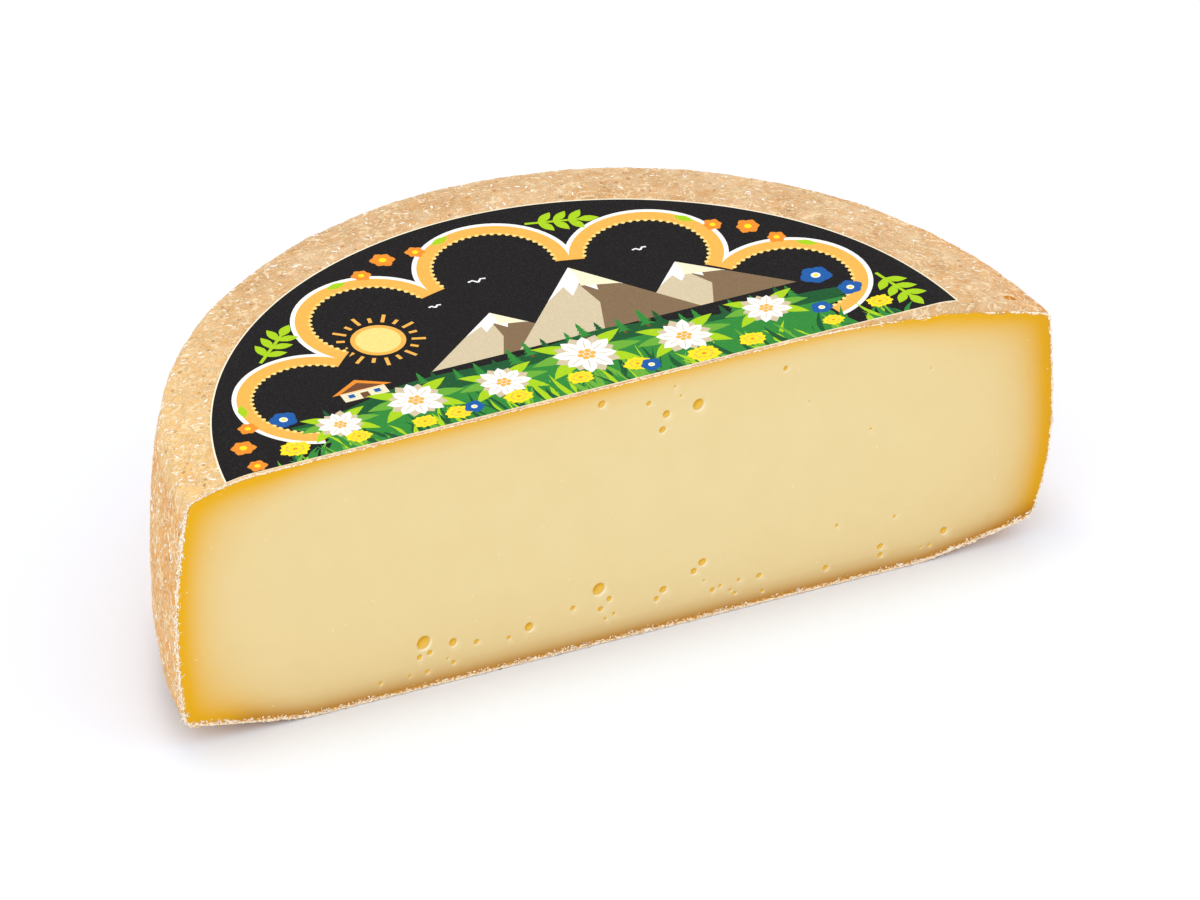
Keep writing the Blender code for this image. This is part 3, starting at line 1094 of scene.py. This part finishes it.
class Printing:
    """The label's printed shapes, each over the ones before it."""

    def __init__(self):
        self.shapes = []
        self.random = np.random.RandomState(LABEL_SEED)

    def shape(self, points, ink):
        self.shapes.append((np.array(points, float), INK_NAMES.index(ink)))

    def line(self, points, width, ink):
        """A line of even width along a few points."""
        track = np.array(points, float)
        ahead = np.gradient(track, axis=0)
        side = np.stack([-ahead[:, 1], ahead[:, 0]], 1)
        side *= width / 2 / np.linalg.norm(side, axis=1)[:, None]
        self.shape(np.concatenate([track + side, (track - side)[::-1]]), ink)

    def sprig(self, u, v, turn, size, ink):
        """A stem with paired leaves and one at its tip, for the spaces between the scallops."""
        along = Vector((math.cos(turn), math.sin(turn)))
        side = Vector((-along.y, along.x))
        middle = Vector((u, v))
        start, end = middle - along * size, middle + along * size * 0.55
        self.line([start, middle, end], size * 0.1, ink)
        for step in (-0.62, -0.18, 0.26):
            for way in (-1, 1):
                root = middle + along * size * step
                tip = root + along * size * 0.42 + side * way * size * 0.5
                self.shape(blade(root, tip, size * 0.3, way * -size * 0.03), ink)
        self.shape(blade(end - along * size * 0.05, end + along * size * 0.62, size * 0.32), ink)

    def blossom(self, u, v, radius, petals, ink, middle_ink, plump=0.75, turn=0.0, squash=1.0):
        width = 2 * math.pi * radius / petals * plump
        for i in range(petals):
            length = radius * (1 + 0.08 * math.sin(i * 2.3))
            tip = around(u, v, length, turn + 2 * math.pi * i / petals, squash)
            self.shape(blade((u, v), tip, width, belly=0.62), ink)
        self.shape(disc(u, v, radius * 0.3, 14, squash), middle_ink)

    def edelweiss(self, u, v, radius, turn):
        """A white star of felted petals, two rows deep, round a cluster of yellow heads."""
        self.blossom(u, v, radius, 8, "sand", "sand", 0.62, turn + 0.4)
        self.blossom(u, v, radius * 0.97, 8, "white", "white", 0.58, turn)
        for i in range(8):
            vein = [around(u, v, radius * share, turn + 2 * math.pi * i / 8) for share in (0.34, 0.72)]
            self.line(vein, radius * 0.035, "sand")
        for i in range(7):
            head = around(u, v, 0.0 if i == 6 else radius * 0.2, 2 * math.pi * i / 6)
            self.shape(disc(*head, radius * 0.1, 9), "gold")

    def buttercup(self, u, v, radius, turn):
        """A round yellow flower with a frilled edge and an orange middle."""
        self.blossom(u, v, radius, 11, "yellow", "yellow", 1.0, turn, 0.8)
        self.blossom(u, v, radius * 0.62, 9, "gold", "gold", 0.8, turn + 0.2, 0.8)
        self.blossom(u, v, radius * 0.5, 9, "yellow", "orange", 0.9, turn, 0.8)

    def gentian(self, u, v, radius, turn):
        self.blossom(u, v, radius, 5, "blue", "white", 0.8, turn)
        self.shape(disc(u, v, radius * 0.16, 10), "yellow")

    def box(self, u, v, half, low, high, ink):
        corners = ((-half, low), (half, low), (half, high), (-half, high))
        self.shape([(u + across, v + up) for across, up in corners], ink)

    def gable(self, u, v, half, low, high, ink):
        self.shape([(u - half, v + low), (u + half, v + low), (u, v + high)], ink)

    def fir(self, u, v, height, ink):
        self.box(u, v, 0.5, 0, height * 0.2, "brown")
        for tier in range(4):
            low = v + height * (0.12 + 0.2 * tier)
            half = height * (0.25 - 0.05 * tier)
            notch, top = low + height * 0.04, low + height * 0.34
            hem = ((-1, low), (-0.4, notch), (0, low), (0.4, notch), (1, low), (0, top))
            self.shape([(u + half * across, up) for across, up in hem], ink)

    def peak(self, u, v, half, height, lean):
        """A mountain with a lit and a shaded side and snow down to a jagged line."""
        left, right, top = (u - half, v), (u + half, v), (u + lean, v + height)
        self.shape([left, right, top], "stone")
        ridge = ((lean * 0.6, 0.72), (half * 0.1, 0.4), (-half * 0.06, 0.0))
        self.shape([left, top] + [(u + across, v + height * up) for across, up in ridge], "sand")
        snow = [top]
        for i in range(7):
            down = 0.26 if i % 2 else 0.42
            ends = [Vector(top).lerp(Vector(foot), down) for foot in (left, right)]
            snow.append(tuple(ends[0].lerp(ends[1], i / 6)))
        self.shape(snow, "white")
        shade = [(top[0] + half * across, top[1] - height * down) for across, down in PEAK_SHADE]
        self.shape([top] + shade + [tuple(Vector(top).lerp(Vector(right), 0.4))], "cream")

    def hut(self, u, v, size):
        """A plain wooden hut with a wide roof."""
        self.box(u, v, size, 0, size * 0.7, "cream")
        for i in range(5):
            low = v + size * 0.14 * i
            self.line([(u - size, low), (u + size, low)], size * 0.035, "sand")
        self.gable(u, v, size * 1.35, size * 0.62, size * 1.45, "orange")
        self.gable(u, v, size * 0.98, size * 0.66, size * 1.2, "brown")
        self.box(u, v, size * 0.18, 0, size * 0.42, "brown")
        for way in (-1, 1):
            self.box(u + way * size * 0.58, v, size * 0.14, size * 0.2, size * 0.46, "blue")


# The scalloped border: the scallops' ring, their radius, and the widths of line and band
LOBES = 12
LOBE_STEP = 2 * math.pi / LOBES
LOBE_OUT = 94.0
LOBE_RADIUS = 26.0
WHITE_LINE = 1.5
GOLD_BAND = 4.8
FIELD_RADIUS = 91.0
BEAD_RING = LOBE_RADIUS - WHITE_LINE - GOLD_BAND
BEAD_STEP = 2.45
SPACE_OUT = 114.5

# The picture: places with their sizes
SUN = (-50, 70)
PEAKS = ((-16, 46, 26, 24, 4), (56, 46, 27, 27, -3), (19, 46, 31, 38, 2))
PEAK_SHADE = ((0.02, 0.16), (-0.02, 0.3))
BIRDS = ((-8, 88, 1.0), (46, 84, 0.8), (-26, 80, 0.7))
HUT = (-66, 41, 7.5)
EDELWEISS = ((-80, 30, 7.6), (-53, 33, 9.4), (-24, 31, 8.6), (6, 35, 10.6), (38, 32, 9.2), (68, 36, 8.2))
GENTIANS = ((-95, 40, 4.6), (90, 47, 5.2), (97, 36, 4.2), (84, 29, 3.6), (-38, 22, 3.4), (22, 21, 3.6))
FIRS = 26
GRASS_BLADES = 230
GRASS_INKS = ("deep_green", "green", "grass", "lime", "green")
BUTTERCUPS = 11
MEADOW = np.linspace(-100, 100, 40)


def lobes():
    """The turn and the centre of each scallop that the cut has left."""
    turns = [math.pi / 2 + LOBE_STEP * i for i in range(-2, 3)]
    return [(turn, around(0, 0, LOBE_OUT, turn)) for turn in turns]


def print_border(sheet):
    """A scalloped golden band with a white outer line and a beaded inner edge."""
    rings = ((0.0, "white", 64), (WHITE_LINE, "gold", 64), (WHITE_LINE + GOLD_BAND, "black", 56))
    for inset, ink, count in rings:
        for _, centre in lobes():
            sheet.shape(disc(*centre, LOBE_RADIUS - inset, count), ink)
    sheet.shape(disc(0, 0, FIELD_RADIUS, 160), "black")
    for turn, centre in lobes():
        for i in range(-14, 15):
            bead = around(*centre, BEAD_RING, turn + i * BEAD_STEP / BEAD_RING)
            if math.hypot(*bead) > FIELD_RADIUS + 0.5:
                sheet.shape(disc(*bead, 0.75, 8), "pale_gold")


def print_spaces(sheet):
    """Sprigs and small flowers by turns in the spaces between the scallops and the rim."""
    for number in range(6):
        turn = math.pi / 2 + LOBE_STEP * (number - 2.5)
        if number % 2 == 0:
            sheet.sprig(*around(0, 0, SPACE_OUT, turn), turn - math.pi / 2, 11.0, "lime")
            continue
        for way, away, radius in ((-1, -0.2, 3.3), (0, 2.2, 4.1), (1, -0.2, 3.3)):
            angle = turn + way * 0.095
            middle = around(0, 0, SPACE_OUT + away, angle)
            sheet.blossom(*middle, radius, 6, "orange", "yellow", 0.8, angle)
        for way in (-1, 1):
            root = around(0, 0, 115.0, turn + way * 0.15)
            sheet.shape(blade(root, around(0, 0, 117.0, turn + way * 0.21), 3.0), "lime")


def inside_border(middles):
    """Which places lie inside the scalloped band."""
    found = np.hypot(*middles.T) < FIELD_RADIUS - 1.0
    for _, centre in lobes():
        found |= np.hypot(*(middles - centre).T) < BEAD_RING - 1.2
    return found


def hill_height(u):
    return 40 + 5 * math.cos(u / 38) + 2 * math.sin(u / 11)


def print_scene(sheet):
    """An alpine meadow: peaks and a low sun over firs and a hut."""
    random = sheet.random
    for i in range(18):
        ray = (10.5, 15.0 if i % 2 else 13.2)
        sheet.line([around(*SUN, reach, 2 * math.pi * i / 18) for reach in ray], 1.2, "gold")
    sheet.shape(disc(*SUN, 8.8, 40), "gold")
    sheet.shape(disc(*SUN, 7.2, 36), "pale_gold")
    for peak in PEAKS:
        sheet.peak(*peak)
    for u, v, size in BIRDS:
        for way in (-size, size):
            wing = [(u + 3 * way, v + 1.2 * size), (u + 1.4 * way, v + 1.6 * size), (u, v)]
            sheet.line(wing, 0.7, "white")
    sheet.shape([(-100, 8), *[(u, hill_height(u)) for u in MEADOW], (100, 8)], "deep_green")
    for i in range(FIRS):
        u = -80 + 6.4 * i + random.uniform(-2, 2)
        v = hill_height(u) - 2 - random.uniform(0, 4)
        if abs(u - HUT[0]) > 12:
            sheet.fir(u, v, random.uniform(7, 12), "green" if i % 3 else "deep_green")
    near = [(u, 35 + 3 * math.sin(u / 27 + 1)) for u in MEADOW]
    sheet.shape([(-100, 8), *near, (100, 8)], "green")
    sheet.hut(*HUT)


def print_grass(sheet):
    """Grass over the foot of the picture, with a garland of flowers in it."""
    random = sheet.random
    for i in range(GRASS_BLADES):
        u = -104 + 212 * (i + random.uniform(-0.5, 0.5)) / GRASS_BLADES
        tall = random.uniform(8, 19) * (1.15 - 0.5 * abs(u) / 112)
        low = 10 + random.uniform(-1, 5)
        tip = (u + random.uniform(-7, 7), low + tall)
        ink = GRASS_INKS[random.randint(len(GRASS_INKS))]
        width = random.uniform(1.0, 2.4)
        sheet.shape(blade((u, low), tip, width, random.uniform(-2, 2), 5, 0.35), ink)
    for u, v, radius in EDELWEISS:
        for way in (-1, 1):
            for leaf in (-1, 0, 1):
                angle = (0 if way > 0 else math.pi) + way * leaf * 0.62
                tip = around(u, v, radius * 1.75, angle, 1.55 / 1.75)
                sheet.shape(blade((u, v), tip, radius * 0.5, way * 0.8, 6), "lime" if leaf else "grass")
    for number, (u, v, radius) in enumerate(EDELWEISS):
        sheet.edelweiss(u, v, radius, number * 0.7)
    for i in range(BUTTERCUPS):
        u = -100 + 20 * i + random.uniform(-5, 5)
        v = 21.5 + random.uniform(-2.5, 3.5)
        sheet.line([(u + 1.5, 12), (u + 0.4, (12 + v) / 2), (u, v)], 0.8, "grass")
        sheet.buttercup(u, v, random.uniform(3.4, 5.6), i)
    for u, v, radius in GENTIANS:
        sheet.gentian(u, v, radius, u)


def within(points, outline):
    """Which of the points lie inside a closed outline."""
    found = np.zeros(len(points), bool)
    x, y = points[:, 0], points[:, 1]
    for (x1, y1), (x2, y2) in zip(outline, np.roll(outline, -1, axis=0)):
        if y1 == y2:
            continue
        crosses = (y1 > y) != (y2 > y)
        found ^= crosses & (x < (x2 - x1) * (y - y1) / (y2 - y1) + x1)
    return found


def label_outline():
    """The half disc that is left of the label: its arc, then the cut back along the chord."""
    first = math.asin(LABEL_CUT_MM / LABEL_MM)
    turns = np.linspace(first, math.pi - first, 260)
    arc = [around(0, 0, LABEL_MM, turn) for turn in turns]
    line = [(u, LABEL_CUT_MM) for u in np.linspace(arc[-1][0], arc[0][0], 120)[1:-1]]
    return arc + line


def draped(u, v, lift):
    """A place on the label, laid on the wheel's top."""
    x, y = LABEL_OFFSET.x + u * MM, LABEL_OFFSET.y + v * MM
    height = float(top_height(*polar(x, y)))
    return (x + AXIS.x, y + AXIS.y, height + lift)


def print_label():
    """The sheet seen flat, cut into faces by its print: places, faces and the ink of each face."""
    sheet = Printing()
    sheet.shape(disc(0, 0, LABEL_MM - PAPER_EDGE_MM, 300), "black")
    print_border(sheet)
    print_spaces(sheet)
    landscape = len(sheet.shapes)
    print_scene(sheet)
    meadow = len(sheet.shapes)
    print_grass(sheet)
    outline = label_outline()
    points, edges = [], []
    for shape in [np.array(outline)] + [points for points, _ in sheet.shapes]:
        first = len(points)
        points += [Vector(point) for point in shape]
        edges += [(first + i, first + (i + 1) % len(shape)) for i in range(len(shape))]
    points += [Vector(p) for p in staggered((-LABEL_MM, LABEL_CUT_MM), (LABEL_MM, LABEL_MM), 4.0)]
    flat, _, faces = delaunay_2d_cdt(points, edges, [], 0, 1e-4)[:3]
    flat = np.array([tuple(point) for point in flat])
    faces = np.array(faces)
    middles = flat[faces].mean(axis=1)
    kept = within(middles, np.array(outline))
    faces, middles = faces[kept], middles[kept]
    inks = np.full(len(faces), INK_NAMES.index("paper"))
    framed = inside_border(middles)
    for number, (shape, ink) in enumerate(sheet.shapes):
        low, high = shape.min(axis=0), shape.max(axis=0)
        near = np.all((middles > low) & (middles < high), axis=1)
        chosen = np.flatnonzero(near)
        hit = chosen[within(middles[chosen], shape)]
        if landscape <= number < meadow:
            hit = hit[framed[hit]]
        inks[hit] = ink
    return flat, faces, inks


def lay_label(paints):
    """The label's sheet with its print, closed by an underside and a paper edge."""
    flat, faces, inks = print_label()
    used = np.unique(faces)
    place_of = {int(old): new for new, old in enumerate(used)}
    count = len(used)
    points = [draped(*flat[i], LABEL_TOP_GAP) for i in used]
    points += [draped(*flat[i], -LABEL_SUNK) for i in used]
    top = [tuple(place_of[int(i)] for i in face) for face in faces]
    made = list(top)
    kinds = list(inks)
    paper = INK_NAMES.index("paper")
    sides = {(a, b) for face in top for a, b in zip(face, face[1:] + face[:1])}
    for face in top:
        made.append(tuple(i + count for i in reversed(face)))
        kinds.append(paper)
    for a, b in sides:
        if (b, a) not in sides:
            made.append((b, a, a + count, b + count))
            kinds.append(paper)
    return placed("label_print", meshed("label_print", points, made, paints, kinds))


def ink_paint(name):
    """Coated paper with one ink on it."""
    paint = Paint("ink_" + name, 0.6, 0.08)
    ink = linear(INKS[name])
    worn = tuple(min(1.0, c * 1.12 + 0.012) for c in ink[:3]) + (1.0,)
    speckle = paint.between(paint.noise(paint.place, 0.7, 3, 0.7), 0.45, 0.7)
    paint.colour(paint.mixed(speckle, ink, worn))
    paint.bump(paint.noise(paint.place, 3.5, 3), 0.05 * MM)
    return paint.material


FLOOR_HALF = 12.0
FLOOR_HEIGHT = -0.2 * MM
FLOOR_COLOUR = (0.88, 0.92, 1.0, 1.0)


def lay_floor():
    corners = ((-1, -1), (1, -1), (1, 1), (-1, 1))
    places = [(x * FLOOR_HALF, y * FLOOR_HALF, FLOOR_HEIGHT) for x, y in corners]
    paint = Paint("floor", 0.9, 0.0)
    paint.colour(FLOOR_COLOUR)
    floor = placed("floor", meshed("floor", places, [(0, 1, 2, 3)], [paint.material]))


# The camera: its way round, up and over, its distance in metres, and its aim from the label's centre
VIEW_AZIMUTH = math.radians(-23.293)
VIEW_ELEVATION = math.radians(32.744)
VIEW_ROLL = math.radians(-0.896)
VIEW_DISTANCE = 6.3348
LENS_MM = 603.18
AIM = Vector((16.99, 51.23, 46.9)) * MM


def place_camera():
    """A long lens from the photograph's side."""
    data = bpy.data.cameras.new("camera")
    data.lens = LENS_MM
    data.sensor_width = 36
    data.clip_start = 0.5
    data.clip_end = 60
    camera = placed("camera", data)
    level, climb = math.cos(VIEW_ELEVATION), math.sin(VIEW_ELEVATION)
    back = Vector((math.sin(VIEW_AZIMUTH) * level, -math.cos(VIEW_AZIMUTH) * level, climb))
    aim = AXIS + LABEL_OFFSET.to_3d() + AIM
    across = Vector((math.cos(VIEW_AZIMUTH), math.sin(VIEW_AZIMUTH), 0))
    up = back.cross(across)
    right = across * math.cos(VIEW_ROLL) + up * math.sin(VIEW_ROLL)
    above = up * math.cos(VIEW_ROLL) - across * math.sin(VIEW_ROLL)
    turn = Matrix((right, above, back)).transposed().to_4x4()
    camera.matrix_world = Matrix.Translation(aim + back * VIEW_DISTANCE) @ turn
    bpy.context.scene.camera = camera


# Soft lights round the wheel: place, size and power
LIGHTS = {
    "key": ((-0.1, 0.15, 1.9), 0.5, 5.5),
    "fill": ((-1.7, -1.7, 0.9), 3.4, 12.2),
    "side": ((1.7, -1.1, 0.8), 2.0, 6.0),
}
LIGHT_AIM = Vector((0, 0, 0.04))
STUDIO_STRENGTH = 0.97


def light_studio():
    world = bpy.data.worlds.new("studio")
    world.use_nodes = True
    background = world.node_tree.nodes["Background"]
    background.inputs["Color"].default_value = (1, 1, 1, 1)
    background.inputs["Strength"].default_value = STUDIO_STRENGTH
    bpy.context.scene.world = world
    bpy.context.scene.view_settings.view_transform = "Standard"
    for name, (place, size, power) in LIGHTS.items():
        data = bpy.data.lights.new(name, "AREA")
        data.shape = "DISK"
        data.size = size
        data.energy = power
        lamp = placed(name, data)
        lamp.location = place
        lamp.rotation_euler = (LIGHT_AIM - Vector(place)).to_track_quat("-Z", "Y").to_euler()


def main():
    made, loop, face_ids = build_cheese()
    cheese = finish_cheese(made, loop, face_ids, (rind_paint(), paste_paint()))
    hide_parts("half_wheel")
    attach(cheese, "root")
    build_rim(cheese, loop, strand_paint("crust", *CRUST_STRANDS))
    fibre_paint, fleck_paint = strand_paint("fibre", *FIBRE_STRANDS), strand_paint("fleck", *FLECK_STRANDS)
    build_rind_strands(cheese, fibre_paint, fleck_paint)
    label = lay_label([ink_paint(name) for name in INK_NAMES])
    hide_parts("label")
    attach(label, "root")
    lay_floor()
    light_studio()
    place_camera()


main()
